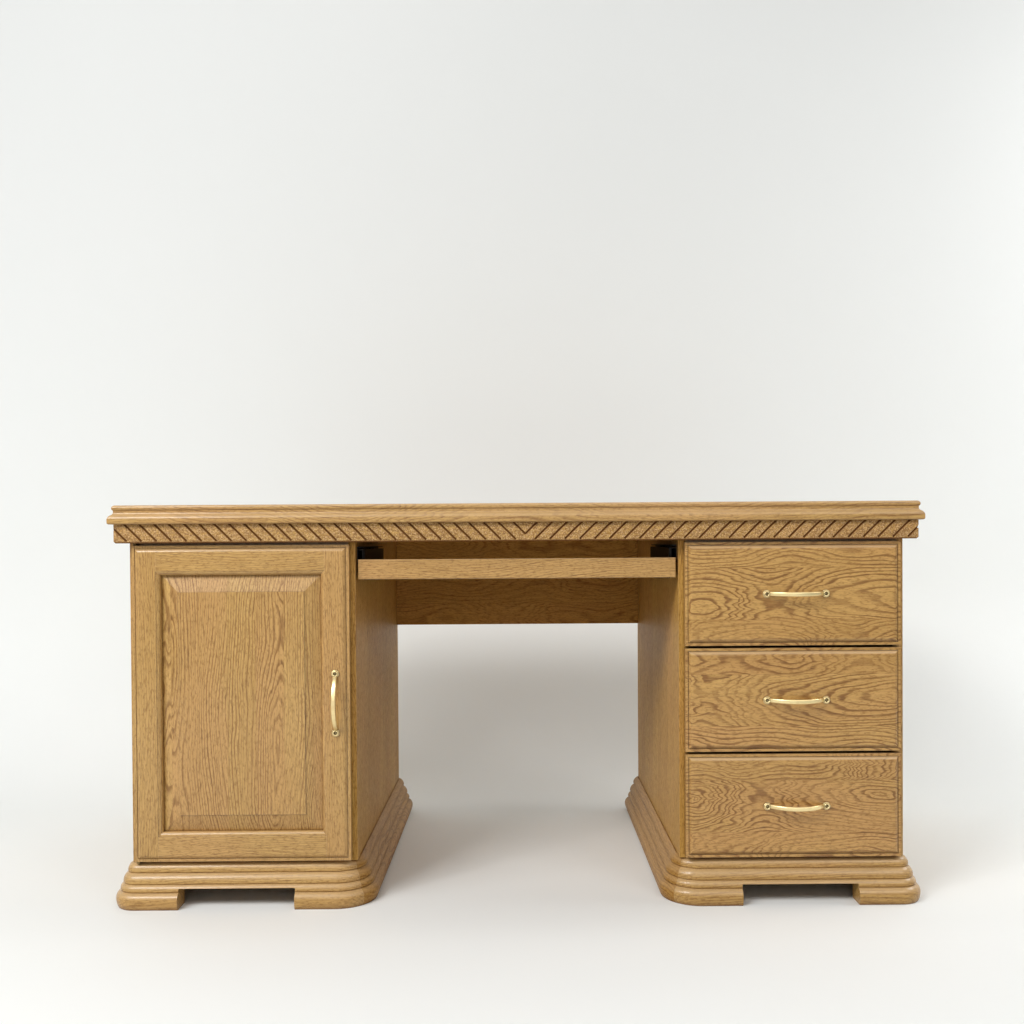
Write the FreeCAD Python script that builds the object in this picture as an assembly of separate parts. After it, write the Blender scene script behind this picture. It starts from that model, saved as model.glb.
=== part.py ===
import FreeCAD, Part
import math
import os
from FreeCAD import Vector

# Writing desk: a moulded top on a chevron frieze, carried by a cupboard pedestal (left) and
# a drawer pedestal (right), with a pull-out keyboard tray between them. Millimetres.
# X runs along the desk, Y from the front to the back, Z up. The origin is on the floor,
# under the middle of the desk's box.

# Driving sizes of the whole desk
knee_width = 644.0
pedestal_width = 448.0
pedestal_depth = 690.0
plinth_height = 86.5
carcass_height = 636.0
frieze_height = 37.0
top_thickness = 37.5
board = 20.0
overrun = 5.0
running_clearance = 0.3

# Frieze: boards lying on the pedestals, standing proud of them
frieze_forward = 33.0
frieze_side_overhang = 19.0
frieze_board = 45.0
frieze_chamfer = 3.0
groove_pitch = 29.3
groove_width = 5.0
groove_depth = 3.5
groove_foot = 3.5
chevron_shift = 17.0
chevron_foot = 14.0

# Tabletop edge, given as reach beyond the frieze face and height above the slab's underside
nose_reach = 9.5
nose_underside_radius = 3.5
nose_flat = 5.5
nose_radius = 10.5
nose_sweep = 62.0
cove_rise = 5.7
cove_middle_reach = 1.5
cove_middle_rise = 2.1
quirk_reach = 0.5
quirk_flat = 3.0
bead_reach = 3.0
bead_rise = 4.5
top_edge_setback = 3.0
back_overhang = 16.0

# Plinth: three lobes and a base, given as reach beyond the carcass face and height
plinth_shoulder = 2.0
lobe_reaches = (13.5, 22.5, 28.0)
lobe_waists = (70.0, 49.5, 35.0)
lobe_quirk = 1.5
lobe_quirk_drop = 2.75
base_bulge = 36.5
base_bulge_height = 17.0
base_foot_reach = 32.5
outer_corner_inset = 12.0
inner_corner_inset = 41.0
plinth_bearing = 10.0
cutout_width = 230.0
cutout_height = 40.5
cutout_corner = 2.0
cutout_outward = 11.0

# Carcass joinery
housing_depth = 6.0
back_panel = 5.0
back_rebate = 10.0
modesty_height = 222.0
modesty_thickness = 18.0
shelf_thickness = 18.0
shelf_rise = 292.0
shelf_front_setback = 14.0
shelf_back_gap = 3.0
shelf_side_gap = 0.5
shelf_pin_radius = 2.5
shelf_pin_reach = 9.0
shelf_pin_depth = 8.0
shelf_pin_inset = 60.0

# Bolts that hold pedestals and rails to the top
bolt_radius = 3.0
bolt_head_radius = 6.0
bolt_head_height = 3.0
bolt_bite = 20.0
bolt_wall_gap = 12.0
bolt_end_inset = 110.0

# Door and drawer fronts
front_thickness = 20.0
front_standoff = 1.5
front_reveal = 10.0
front_gap = 5.0
lip_width = 5.5
lip_setback = 4.0
lip_groove = 1.0
ovolo_width = 8.0

# Door frame and panel
stile_flat = 48.0
rail_flat = 51.0
sticking_width = 8.0
sticking_step = 1.0
panel_depth = 12.5
panel_tongue = 5.0
panel_groove_depth = 8.0
panel_groove_gap = 1.0
panel_bevel = 33.0
panel_step = 1.5
field_depth = 4.0
tenon_length = 30.0
tenon_thickness = 6.0
tenon_setback = 6.0
tenon_shoulder = 10.0

# Pivot hinges
pivot_inset = 4.5
pivot_from_back = 8.5
leaf_thickness = 2.5
leaf_half_width = 4.0
leaf_length = 42.0
pin_radius = 2.5
pin_fit = 0.05
pin_reach = 6.0
collar_radius = 4.0

# Door catch
catch_width = 40.0
catch_height = 14.0
catch_depth = 22.0
catch_plate_thickness = 1.5
catch_side_gap = 5.0

# Bow handles
handle_centres = 117.0
handle_outward = 5.0
handle_projection = 28.5
rosette_radius = 7.5
rosette_rim = 0.9
rosette_thickness = 3.0
ring_radius = 5.5
ring_height = 5.5
dimple_radius = 3.4
dimple_floor_radius = 1.8
dimple_floor_height = 2.0
bow_thickness = 5.0
bow_height = 9.0
bow_inset = 4.5
handle_screw_radius = 2.0
handle_screw_head_radius = 4.0
handle_screw_head = 2.5
handle_screw_bite = 1.5
door_handle_inset = 28.0

# Drawer boxes and the rails that they run on
drawer_count = 3
box_clearance = 7.0
box_length = 560.0
box_side = 14.0
box_side_gap = 2.0
box_back = 12.0
box_back_drop = 8.0
box_back_inset = 10.0
box_back_housing = 4.0
box_bottom = 6.0
box_bottom_rise = 10.0
box_bottom_groove = 6.0
box_front_housing = 8.0
rail_height = 18.0
rail_groove_depth = 8.0
rail_tip_gap = 0.5
rail_setback = 3.0

# Keyboard tray on ball slides
tray_gap = 5.0
lip_height = 40.0
lip_thickness = 18.0
lip_rounding = 2.0
lip_drop = 35.0
tray_board = 18.0
tray_depth = 320.0
slide_drop = 10.0
slide_height = 35.0
slide_thickness = 12.0
track_edge_gap = 0.5
slide_metal = 1.5
slide_length = 300.0
slide_setback = 4.0
slide_travel = 225.0
runner_height = 24.0
runner_lip = 8.0
cage_metal = 1.0
cage_web_gap = 0.5
cage_end_gap = 4.0
ball_radius = 1.7
ball_count = 5
hanger_metal = 2.0
hanger_foot = 30.0
hanger_end_inset = 6.0

# Derived sizes and places
z_carcass = plinth_height
z_frieze = plinth_height + carcass_height
z_slab = z_frieze + frieze_height
desk_height = z_slab + top_thickness
x_knee = knee_width / 2
x_outer = x_knee + pedestal_width
frieze_half = x_outer + frieze_side_overhang
nose_forward = frieze_forward + nose_reach
handle_forward = front_standoff + front_thickness + handle_projection
front_reach = max(nose_forward, handle_forward, base_bulge)
back_reach = pedestal_depth + back_overhang
y_carcass = (front_reach - back_reach) / 2
y_back = y_carcass + pedestal_depth
y_frieze = y_carcass - frieze_forward
y_frieze_back = y_frieze + frieze_board
y_door_back = y_carcass - front_standoff
y_face = y_door_back - front_thickness
front_width = pedestal_width - 2 * front_reveal
x_front = x_outer - front_reveal
front_height = (carcass_height - (drawer_count + 1) * front_gap) / drawer_count
door_height = carcass_height - 2 * front_gap
z_door = z_carcass + front_gap
box_rise = board - front_gap + box_clearance
box_height = front_height - 2 * box_rise
x_pivot = -x_front + pivot_inset
y_pivot = y_door_back - pivot_from_back


def box(x0, x1, y0, y1, z0, z1):
    """Block between two corners."""
    corner = Vector(min(x0, x1), min(y0, y1), min(z0, z1))
    return Part.makeBox(abs(x1 - x0), abs(y1 - y0), abs(z1 - z0), corner)


def cylinder(radius, length, base, axis):
    """Round bar from a base point along an axis."""
    return Part.makeCylinder(radius, length, base, axis)


def face(path, place):
    """Flat face inside a path of corners. A pair of corners is an arc through the first to the second."""
    edges = []
    here = path[0]
    for step in path[1:] + [path[0]]:
        if isinstance(step[0], tuple):
            middle, end = step
            edges.append(Part.Arc(place(*here), place(*middle), place(*end)).toShape())
            here = end
        elif step != here:
            edges.append(Part.LineSegment(place(*here), place(*step)).toShape())
            here = step
    return Part.Face(Part.Wire(edges))


def along_x(path, x0, x1):
    """Prism of a path in (y, z), from x0 to x1."""
    return face(path, lambda y, z: Vector(x0, y, z)).extrude(Vector(x1 - x0, 0, 0))


def along_y(path, y0, y1):
    """Prism of a path in (x, z), from y0 to y1."""
    return face(path, lambda x, z: Vector(x, y0, z)).extrude(Vector(0, y1 - y0, 0))


def along_z(path, z0, z1):
    """Prism of a path in (x, y), from z0 to z1."""
    return face(path, lambda x, y: Vector(x, y, z0)).extrude(Vector(0, 0, z1 - z0))


def mirrored(shape):
    """The same shape on the other side of the desk's middle plane."""
    return shape.mirror(Vector(0, 0, 0), Vector(1, 0, 0))


def on_arc(cx, cy, radius, degrees):
    """Point of a circle, as a pair."""
    angle = math.radians(degrees)
    return (cx + radius * math.cos(angle), cy + radius * math.sin(angle))


def tabletop_edge():
    """Edge outline from the underside up, as (reach beyond the frieze, height above the underside)."""
    r = nose_underside_radius
    flat_top = r + nose_flat
    roll_middle = on_arc(nose_reach - nose_radius, flat_top, nose_radius, nose_sweep / 2)
    roll_end = on_arc(nose_reach - nose_radius, flat_top, nose_radius, nose_sweep)
    cove_middle = (cove_middle_reach, roll_end[1] + cove_middle_rise)
    waist = roll_end[1] + cove_rise
    shoulder = waist + quirk_flat
    return [
        (nose_reach - r, 0.0),
        (on_arc(nose_reach - r, r, r, -45), (nose_reach, r)),
        (nose_reach, flat_top),
        (roll_middle, roll_end),
        (cove_middle, (quirk_reach, waist)),
        (quirk_reach, shoulder),
        ((bead_reach, shoulder + bead_rise), (-top_edge_setback, top_thickness)),
    ]


def placed(outline, place):
    """An outline with every point moved by a placing function."""
    moved = []
    for step in outline:
        if isinstance(step[0], tuple):
            moved.append(tuple(place(*point) for point in step))
        else:
            moved.append(place(*step))
    return moved


def reversed_outline(outline):
    """An outline walked the other way."""
    ends = [step[1] if isinstance(step[0], tuple) else step for step in outline]
    path = [ends[-1]]
    for index in range(len(outline) - 1, 0, -1):
        step = outline[index]
        if isinstance(step[0], tuple):
            path.append((step[0], ends[index - 1]))
        else:
            path.append(ends[index - 1])
    return path


def tabletop():
    """Slab with the moulded edge on the front, the left and the right."""
    edge = tabletop_edge()
    y_end = y_back + back_overhang
    front = placed(edge, lambda u, v: (y_frieze - u, z_slab + v))
    lengthways = along_x(front + [(y_end, desk_height), (y_end, z_slab)], -frieze_half - nose_reach,
                         frieze_half + nose_reach)
    right = placed(edge, lambda u, v: (frieze_half + u, z_slab + v))
    left = placed(reversed_outline(edge), lambda u, v: (-frieze_half - u, z_slab + v))
    across = along_y(right + left, y_frieze - nose_reach, y_end)
    return lengthways.common(across).removeSplitter()


def v_cut(top, foot, outward):
    """V groove between two points of a face, cut against the face's outward direction."""
    run = (foot - top).normalize()
    side = run.cross(outward).normalize()
    half = groove_width / 2
    slope = half / groove_depth
    rim = overrun
    deep = top - outward * groove_depth
    wide = top + outward * rim
    spread = slope * (groove_depth + rim)
    corners = [deep, wide + side * spread, wide - side * spread, deep]
    wedge = Part.Face(Part.makePolygon(corners))
    return wedge.extrude(foot - top)


def chevrons(length, middle, place, outward):
    """Slanted grooves over a frieze face, meeting in a point at the middle."""
    bottom = z_frieze + groove_foot
    apex = z_frieze + chevron_foot
    top = z_slab + overrun
    cuts = []
    for side in (-1, 1):
        count = int((length / 2 + abs(middle)) / groove_pitch) + 2
        for index in range(count):
            low = apex if index == 0 else bottom
            at_apex = middle + side * index * groove_pitch
            head = at_apex + side * (top - apex)
            foot = at_apex + side * (low - apex)
            if abs(foot) < length / 2 + groove_pitch:
                cuts.append(v_cut(place(head, top), place(foot, low), outward))
    return Part.makeCompound(cuts)


def frieze_section(face_at, inward):
    """Frieze board's section in (across, z): flat face with a small chamfer at the foot."""
    back = face_at + inward * frieze_board
    return [
        (face_at, z_slab),
        (face_at, z_frieze + frieze_chamfer),
        (face_at + inward * frieze_chamfer, z_frieze),
        (back, z_frieze),
        (back, z_slab),
    ]


def front_frieze():
    """Front board between the two mitres, with the chevrons meeting near its middle."""
    blank = along_x(frieze_section(y_frieze, 1), -frieze_half, frieze_half)
    inner = frieze_half - frieze_board
    plan = [(-frieze_half, y_frieze), (frieze_half, y_frieze), (inner, y_frieze_back), (-inner, y_frieze_back)]
    blank = blank.common(along_z(plan, z_frieze - overrun, z_slab + overrun))
    cuts = chevrons(2 * frieze_half, chevron_shift, lambda u, z: Vector(u, y_frieze, z), Vector(0, -1, 0))
    return blank.cut(cuts)


def left_frieze():
    """Left return board, mitred in front and square behind."""
    blank = along_y(frieze_section(-frieze_half, 1), y_frieze, y_back)
    inner = -frieze_half + frieze_board
    plan = [(-frieze_half, y_frieze), (inner, y_frieze_back), (inner, y_back), (-frieze_half, y_back)]
    blank = blank.common(along_z(plan, z_frieze - overrun, z_slab + overrun))
    middle = (y_frieze + y_back) / 2
    cuts = chevrons(y_back - y_frieze, 0.0, lambda u, z: Vector(-frieze_half, middle + u, z), Vector(-1, 0, 0))
    return blank.cut(cuts)


def frieze_rails():
    """Back rail between the returns, and a cross rail over the inner side of each pedestal."""
    inner = frieze_half - frieze_board
    y_rail = y_back - frieze_board
    rails = [box(-inner, inner, y_rail, y_back, z_frieze, z_slab)]
    for side in (-1, 1):
        rails.append(box(side * x_knee, side * (x_knee + frieze_board), y_frieze_back, y_rail, z_frieze, z_slab))
    return rails


def bolt_places():
    """Where the bolts stand, as (x, y)."""
    x_cross = x_knee + board + bolt_wall_gap
    y_rail = y_back - frieze_board
    places = []
    for side in (-1, 1):
        places.append((side * x_cross, y_carcass + bolt_end_inset))
        places.append((side * x_cross, y_rail - bolt_end_inset))
        for x in (x_knee + bolt_end_inset, x_outer - bolt_end_inset):
            places.append((side * x, y_back - frieze_board / 2 - back_panel))
    return places


def top_fixing_bolts():
    """Countersunk bolts up through the pedestal tops and the rails into the slab."""
    bolts = []
    for x, y in bolt_places():
        start = Vector(x, y, z_frieze - board)
        length = board + frieze_height + bolt_bite
        head = Part.makeCone(bolt_head_radius, bolt_radius, bolt_head_height, start, Vector(0, 0, 1))
        bolts.append(head.fuse(cylinder(bolt_radius, length, start, Vector(0, 0, 1))).removeSplitter())
    return bolts


def upright_arc(low_reach, height, reach, upright_height):
    """Middle point of the arc from one point to another where it stands upright."""
    across = reach - low_reach
    up = height - upright_height
    radius = (across * across + up * up) / (2 * across)
    turn = math.degrees(math.asin(up / radius))
    return on_arc(reach - radius, upright_height, radius, turn / 2)


def plinth_profile():
    """Lobed face of the plinth from the top down, as (reach beyond the carcass, height)."""
    u, v = plinth_shoulder, plinth_height
    path = [(u, v)]
    for reach, waist in zip(lobe_reaches, lobe_waists):
        path.append((upright_arc(u, v, reach, waist), (reach, waist)))
        u, v = reach - lobe_quirk, waist - lobe_quirk_drop
        path.append((u, v))
    path.append((upright_arc(u, v, base_bulge, base_bulge_height), (base_bulge, base_bulge_height)))
    foot = upright_arc(base_foot_reach, 0.0, base_bulge, base_bulge_height)
    path.append((foot, (base_foot_reach, 0.0)))
    return path


def plinth_block():
    """Whole plinth of the left pedestal with round front corners, hollow inside."""
    profile = plinth_profile()
    z0, z1 = 0.0, plinth_height
    x0, x1 = -x_outer + outer_corner_inset, -x_knee - inner_corner_inset
    y0, y1 = y_carcass + outer_corner_inset, y_carcass + inner_corner_inset

    def run(depth, place, direction):
        outline = [(-depth, z1)] + profile + [(-depth, z0)]
        return face(outline, place).extrude(direction)

    solid = run(outer_corner_inset, lambda u, v: Vector(-x_outer - u, y0, v), Vector(0, y_back - y0, 0))
    solid = solid.fuse(run(inner_corner_inset, lambda u, v: Vector(-x_knee + u, y1, v), Vector(0, y_back - y1, 0)))
    solid = solid.fuse(run(outer_corner_inset, lambda u, v: Vector(x0, y_carcass - u, v), Vector(x1 - x0, 0, 0)))
    for inset, x, y, sweep in (
        (outer_corner_inset, x0, y0, (-1, 0)),
        (inner_corner_inset, x1, y1, (0, -1)),
    ):
        outline = [(-inset, z1)] + profile + [(-inset, z0)]
        dx, dy = sweep
        section = face(outline, lambda u, v: Vector(x + dx * (u + inset), y + dy * (u + inset), v))
        solid = solid.fuse(section.revolve(Vector(x, y, 0), Vector(0, 0, 1), 90))
    solid = solid.fuse(box(x0, x1, y0, y_back, z0, z1))
    b = plinth_bearing
    hollow = box(-x_outer + b, -x_knee - b, y_carcass + b, y_back + overrun, z0 - overrun, z1 + overrun)
    return solid.cut(hollow).removeSplitter()


def plinth_pieces():
    """Front, outer side and inner side of the left plinth, mitred at the front corners."""
    whole = plinth_block()
    far = base_bulge + overrun
    deep = plinth_bearing
    z0, z1 = -overrun, plinth_height + overrun
    plan = [
        (-x_outer - far, y_carcass - far),
        (-x_knee + far, y_carcass - far),
        (-x_knee - deep, y_carcass + deep),
        (-x_outer + deep, y_carcass + deep),
    ]
    wedge = along_z(plan, z0, z1)
    middle = -(x_outer + x_knee) / 2 - cutout_outward
    half = cutout_width / 2
    c = cutout_corner
    arch = along_y(
        [
            (middle - half, -overrun),
            (middle - half, cutout_height - c),
            (on_arc(middle - half + c, cutout_height - c, c, 135), (middle - half + c, cutout_height)),
            (middle + half - c, cutout_height),
            (on_arc(middle + half - c, cutout_height - c, c, 45), (middle + half, cutout_height - c)),
            (middle + half, -overrun),
        ],
        y_carcass - far,
        y_carcass + deep + overrun,
    )
    front = whole.common(wedge).cut(arch)
    sides = whole.cut(wedge)
    outer, inner = sorted(sides.Solids, key=lambda piece: piece.CenterOfMass.x)
    return front, outer, inner


def plinth_back_rails():
    """Rail that closes each plinth behind."""
    b = plinth_bearing
    rail = box(-x_outer + b, -x_knee - b, y_back - board, y_back, 0.0, plinth_height)
    return [rail, mirrored(rail)]


def carcass_side(x_face, inward):
    """Side board of a pedestal, with housings for the top and the bottom and a rebate for the back."""
    x_in = x_face + inward * board
    x_housing = x_in - inward * housing_depth
    side = box(x_face, x_in, y_carcass, y_back, z_carcass, z_frieze)
    for z in (z_carcass, z_frieze - board):
        side = side.cut(box(x_housing, x_in, y_carcass, y_back, z, z + board))
    rebate = box(x_in - inward * back_rebate, x_in + inward * overrun, y_back - back_panel, y_back + overrun,
                 z_carcass - overrun, z_frieze + overrun)
    return side.cut(rebate)


def carcass_shelf_board(z):
    """Top or bottom of the left pedestal, let into both sides."""
    reach = board - housing_depth
    return box(-x_outer + reach, -x_knee - reach, y_carcass, y_back - back_panel, z, z + board)


def carcass_back():
    """Thin back of the left pedestal, in the rebates of its sides."""
    edge = board - back_rebate
    return box(-x_outer + edge, -x_knee - edge, y_back - back_panel, y_back, z_carcass, z_frieze)


def cupboard_shelf():
    """Loose shelf on its four pins."""
    x0 = -x_outer + board + shelf_side_gap
    x1 = -x_knee - board - shelf_side_gap
    z = z_carcass + board + shelf_rise
    return box(x0, x1, y_carcass + shelf_front_setback, y_back - back_panel - shelf_back_gap, z,
               z + shelf_thickness)


def shelf_pins():
    """Round pins under the shelf, two in each side."""
    z = z_carcass + board + shelf_rise - shelf_pin_radius
    pins = []
    for x, inward in ((-x_outer + board, 1), (-x_knee - board, -1)):
        for y in (y_carcass + shelf_pin_inset, y_back - shelf_pin_inset):
            base = Vector(x - inward * shelf_pin_depth, y, z)
            pins.append(cylinder(shelf_pin_radius, shelf_pin_depth + shelf_pin_reach, base, Vector(inward, 0, 0)))
    return pins


def front_blank(x0, x1, z0, z1):
    """Door or drawer front: a lip round the edge, a fine groove, then an ovolo that meets the face flat."""
    start = lip_width + lip_groove
    end = start + ovolo_width
    r = (ovolo_width * ovolo_width + lip_setback * lip_setback) / (2 * lip_setback)
    turn = math.degrees(math.asin(ovolo_width / r))
    rise = [
        (0.0, front_thickness),
        (0.0, lip_setback),
        (start, lip_setback),
        (on_arc(end, r, r, -90 - turn / 2), (end, 0.0)),
    ]
    fall = reversed_outline(rise)

    def both(low, high, place):
        up = placed(rise, lambda e, d: place(low + e, y_face + d))
        down = placed(fall, lambda e, d: place(high - e, y_face + d))
        return up + down

    upright = along_z(both(x0, x1, lambda a, y: (a, y)), z0, z1)
    level = along_x(both(z0, z1, lambda a, y: (y, a)), x0, x1)
    blank = upright.common(level)
    w = lip_width
    g = start
    floor = y_face + lip_setback + lip_groove
    ring = box(x0 + w, x1 - w, y_face, floor, z0 + w, z1 - w)
    ring = ring.cut(box(x0 + g, x1 - g, y_face, floor, z0 + g, z1 - g))
    return blank.cut(ring)


def frame_recess(x0, x1, z0, z1):
    """Opening of the door frame with its moulded inner edge, mitred at the corners."""
    deep = sticking_step + sticking_width

    def both(low, high, flat, place):
        wide = flat + sticking_width
        curve = [
            (flat, -overrun),
            (flat, sticking_step),
            (on_arc(flat, deep, sticking_width, -45), (wide, deep)),
            (wide, front_thickness + overrun),
        ]
        up = placed(curve, lambda e, d: place(low + e, y_face + d))
        down = placed(reversed_outline(curve), lambda e, d: place(high - e, y_face + d))
        return up + down

    upright = along_z(both(x0, x1, stile_flat, lambda a, y: (a, y)), z0, z1)
    level = along_x(both(z0, z1, rail_flat, lambda a, y: (y, a)), x0, x1)
    return upright.common(level)


def door_frame_pieces():
    """Hinge stile, handle stile, bottom rail and top rail of the door."""
    x0, x1 = -x_front, -x_front + front_width
    z0, z1 = z_door, z_door + door_height
    whole = front_blank(x0, x1, z0, z1).cut(frame_recess(x0, x1, z0, z1))
    f, g, s = stile_flat, rail_flat, sticking_width
    into = s - panel_groove_depth
    slot_front = y_face + panel_depth
    slot = box(x0 + f + into, x1 - f - into, slot_front, slot_front + panel_tongue, z0 + g + into, z1 - g - into)
    whole = whole.cut(slot)
    far = overrun
    bounds = (y_face - overrun, y_door_back + overrun)

    def stile(edge, inward):
        plan = [
            (edge - inward * far, z0 - far),
            (edge + inward * f, z0 - far),
            (edge + inward * f, z0 + g),
            (edge + inward * (f + s), z0 + g + s),
            (edge + inward * (f + s), z1 - g - s),
            (edge + inward * f, z1 - g),
            (edge + inward * f, z1 + far),
            (edge - inward * far, z1 + far),
        ]
        return along_y(plan, *bounds)

    stiles = [stile(x0, 1), stile(x1, -1)]
    rails = [piece for piece in whole.cut(stiles[0]).cut(stiles[1]).Solids]
    rails.sort(key=lambda piece: piece.CenterOfMass.z)
    hinge_stile = whole.common(stiles[0])
    handle_stile = whole.common(stiles[1])
    y_tenon = y_face + tenon_setback
    finished = []
    height = g - tenon_shoulder - lip_width - lip_groove
    for rail, low in zip(rails, (z0 + tenon_shoulder, z1 - tenon_shoulder - height)):
        for edge, inward in ((x0, 1), (x1, -1)):
            tenon = box(edge + inward * f, edge + inward * (f - tenon_length), y_tenon, y_tenon + tenon_thickness,
                        low, low + height)
            rail = rail.fuse(tenon)
            if inward > 0:
                hinge_stile = hinge_stile.cut(tenon)
            else:
                handle_stile = handle_stile.cut(tenon)
        finished.append(rail.removeSplitter())
    return hinge_stile, handle_stile, finished[0], finished[1]


def door_panel():
    """Raised panel: a tongue in the frame's groove, a bevel with mitred corners, and a flat field."""
    tongue = y_face + panel_depth
    back = tongue + panel_tongue

    def both(low, high, flat, place):
        bevel_start = flat + sticking_width
        edge = bevel_start - panel_groove_depth + panel_groove_gap
        bevel_end = bevel_start + panel_bevel
        rise = [
            (edge, back),
            (edge, tongue),
            (bevel_start, tongue),
            (bevel_end, y_face + field_depth + panel_step),
            (bevel_end, y_face + field_depth),
        ]
        return [place(low + e, y) for e, y in rise] + [place(high - e, y) for e, y in reversed(rise)]

    x0, x1 = -x_front, -x_front + front_width
    z0, z1 = z_door, z_door + door_height
    upright = along_z(both(x0, x1, stile_flat, lambda a, y: (a, y)), z0, z1)
    level = along_x(both(z0, z1, rail_flat, lambda a, y: (y, a)), x0, x1)
    return upright.common(level)


def bow_handle():
    """Bow handle with two rosettes, lying along X, its back on the plane y = 0, centred on the origin."""
    half = handle_centres / 2
    chord = half - bow_inset
    rise = handle_projection - bow_thickness / 2
    radius = (chord * chord + rise * rise) / (2 * rise)
    centre = radius - rise
    angle = math.degrees(math.asin(chord / radius))
    r = bow_thickness / 2
    straight = bow_height / 2 - r
    outline = [
        (-r, -straight),
        ((0.0, -straight - r), (r, -straight)),
        (r, straight),
        ((0.0, straight + r), (-r, straight)),
    ]
    section = face(outline, lambda u, v: Vector(0, centre - radius + u, v))
    section.rotate(Vector(0, centre, 0), Vector(0, 0, 1), -angle)
    bow = section.revolve(Vector(0, centre, 0), Vector(0, 0, 1), 2 * angle)
    deep = bow_thickness + overrun
    bow = bow.cut(box(-half, half, 0.0, deep, -bow_height, bow_height))
    handle = bow
    for side in (-1, 1):
        handle = handle.fuse(rosette(side * half))
    return handle.removeSplitter()


def rosette(x):
    """Round foot of a handle: a disc with a softened rim, a raised ring and a dimple."""
    rim = rosette_rim
    neck = (ring_radius + rosette_radius - rim) / 2
    ring_middle = (ring_radius + dimple_radius) / 2
    outline = [
        (0.0, 0.0),
        (rosette_radius, 0.0),
        (rosette_radius, rosette_thickness - rim),
        (on_arc(rosette_radius - rim, rosette_thickness - rim, rim, 45), (rosette_radius - rim, rosette_thickness)),
        (neck, rosette_thickness),
        (ring_radius, rosette_thickness + rim),
        ((ring_middle, ring_height), (dimple_radius, rosette_thickness + rim)),
        (dimple_floor_radius, dimple_floor_height),
        (0.0, dimple_floor_height),
    ]
    section = face(outline, lambda r, h: Vector(x + r, -h, 0))
    return section.revolve(Vector(x, 0, 0), Vector(0, 1, 0), 360)


def handle_with_screws():
    """Bow handle and the two screws that hold it through a front, centred on the origin of the face."""
    pieces = [bow_handle()]
    screws = []
    for side in (-1, 1):
        x = side * handle_centres / 2
        shank = cylinder(handle_screw_radius, front_thickness + handle_screw_bite,
                         Vector(x, -handle_screw_bite, 0), Vector(0, 1, 0))
        head = cylinder(handle_screw_head_radius, handle_screw_head, Vector(x, front_thickness, 0),
                        Vector(0, 1, 0))
        screws.append(shank.fuse(head).removeSplitter())
    pieces[0] = pieces[0].cut(screws[0]).cut(screws[1])
    return pieces + screws


def moved_handle(x, z, upright):
    """Handle set on a front at (x, z), lying or standing."""
    pieces = handle_with_screws()
    for piece in pieces:
        if upright:
            piece.rotate(Vector(0, 0, 0), Vector(0, 1, 0), 90)
        piece.translate(Vector(x, y_face, z))
    return pieces


def leaf(direction):
    """Straight hinge leaf from the pivot in a direction, one leaf thick, lying on z = 0."""
    w = leaf_half_width
    strip = box(0, leaf_length, -w, w, 0, leaf_thickness)
    eye = cylinder(w, leaf_thickness, Vector(0, 0, 0), Vector(0, 0, 1))
    plate = strip.fuse(eye).removeSplitter()
    plate.rotate(Vector(0, 0, 0), Vector(0, 0, 1), direction)
    plate.translate(Vector(x_pivot, y_pivot, 0))
    return plate


def at_height(shape, z):
    """Copy of a shape lifted by z."""
    copy = shape.copy()
    copy.translate(Vector(0, 0, z))
    return copy


def carcass_leaf_blanks():
    """Solid leaves let into the carcass, below and above the door."""
    plate = leaf(90)
    return [at_height(plate, z_carcass), at_height(plate, z_frieze - leaf_thickness)]


def door_leaf_blanks():
    """Solid leaves let into the door's lower and upper edge."""
    plate = leaf(0)
    return [at_height(plate, z_door), at_height(plate, z_door + door_height - leaf_thickness)]


def pin_bar(radius, reach):
    """Round bar on the pivot, up from the carcass leaf into the door and the same above."""
    length = front_gap + leaf_thickness + reach
    low = Vector(x_pivot, y_pivot, z_carcass)
    high = Vector(x_pivot, y_pivot, z_frieze - length)
    return [cylinder(radius, length, base, Vector(0, 0, 1)) for base in (low, high)]


def hinge_pins():
    """Pins with a collar that keeps the door off the carcass leaves."""
    collar_height = front_gap - leaf_thickness - running_clearance
    low = Vector(x_pivot, y_pivot, z_carcass + leaf_thickness)
    high = Vector(x_pivot, y_pivot, z_frieze - leaf_thickness - collar_height)
    pins = []
    for bar, base in zip(pin_bar(pin_radius, pin_reach), (low, high)):
        collar = cylinder(collar_radius, collar_height, base, Vector(0, 0, 1))
        pins.append(bar.fuse(collar).removeSplitter())
    return pins


def cut_all(shape, tools):
    """A shape with every tool taken out of it."""
    for tool in tools:
        shape = shape.cut(tool)
    return shape


def catch_parts():
    """Magnet block under the cupboard top and the steel plate on the door."""
    x1 = -x_knee - board - catch_side_gap
    x0 = x1 - catch_width
    z1 = z_frieze - board
    z0 = z1 - catch_height
    plate_back = y_door_back + catch_plate_thickness
    block_front = plate_back + running_clearance
    block = box(x0, x1, block_front, block_front + catch_depth, z0, z1)
    plate = box(x0, x1, y_door_back, plate_back, z0, z1)
    return block, plate


def drawer_floor(index):
    """Underside of a drawer front, counted from the top one."""
    return z_frieze - (index + 1) * (front_gap + front_height)


def drawer_x():
    """Inner faces of the drawer pedestal."""
    return x_knee + board, x_outer - board


def drawer_rails():
    """Two rails for each drawer, on the faces of the pedestal's sides."""
    thickness = box_side_gap + rail_groove_depth - rail_tip_gap
    left, right = drawer_x()
    rails = []
    for index in range(drawer_count):
        middle = drawer_floor(index) + front_height / 2
        low, high = middle - rail_height / 2, middle + rail_height / 2
        y0 = y_carcass + rail_setback
        for x, inward in ((left, 1), (right, -1)):
            rails.append(box(x, x + inward * thickness, y0, y0 + box_length, low, high))
    return rails


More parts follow.
